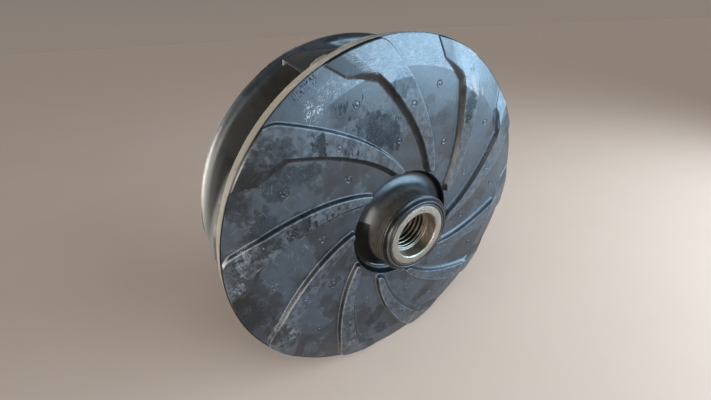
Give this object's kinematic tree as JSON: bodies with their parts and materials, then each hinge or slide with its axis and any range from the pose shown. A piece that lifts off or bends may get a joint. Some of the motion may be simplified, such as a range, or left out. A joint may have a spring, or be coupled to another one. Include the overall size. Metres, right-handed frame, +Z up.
{
  "type": "rubber slurry pump impeller",
  "caption": "Closed pump impeller in moulded black rubber, with curved vanes between and outside its two shrouds and a threaded steel hub.",
  "frame": {"origin": "on the rotation axis, halfway along the overall width from the hub nose to the inlet ring", "axes": "+Y along the rotation axis towards the inlet, so the hub and its threaded steel insert face -Y; +Z up as it stands on its two rims; +X to the right for someone facing the hub"},
  "size_m": [0.685, 0.252, 0.685],
  "materials": {
    "rubber": "moulded black rubber, semi-gloss with dust and scuffs",
    "hub_steel": "machined steel with light brown staining"
  },
  "bodies": {
    "root": {"back_shroud": "rubber", "front_shroud": "rubber", "pocket_floor": "rubber", "hub_boss": "rubber", "hub_collar": "rubber", "nose_lip": "rubber", "hub_insert": "hub_steel", "inner_hub_base": "rubber", "inner_hub_dome": "rubber", "inlet_ring": "rubber", "pumping_vane_1": "rubber", "pumping_vane_2": "rubber", "pumping_vane_3": "rubber", "pumping_vane_4": "rubber", "pumping_vane_5": "rubber", "back_expelling_vane_01": "rubber", "back_expelling_vane_02": "rubber", "back_expelling_vane_03": "rubber", "back_expelling_vane_04": "rubber", "back_expelling_vane_05": "rubber", "back_expelling_vane_06": "rubber", "back_expelling_vane_07": "rubber", "back_expelling_vane_08": "rubber", "back_expelling_vane_09": "rubber", "back_expelling_vane_10": "rubber", "front_expelling_vane_01": "rubber", "front_expelling_vane_02": "rubber", "front_expelling_vane_03": "rubber", "front_expelling_vane_04": "rubber", "front_expelling_vane_05": "rubber", "front_expelling_vane_06": "rubber", "front_expelling_vane_07": "rubber", "front_expelling_vane_08": "rubber", "front_expelling_vane_09": "rubber", "front_expelling_vane_10": "rubber"}
  },
  "joints": []
}
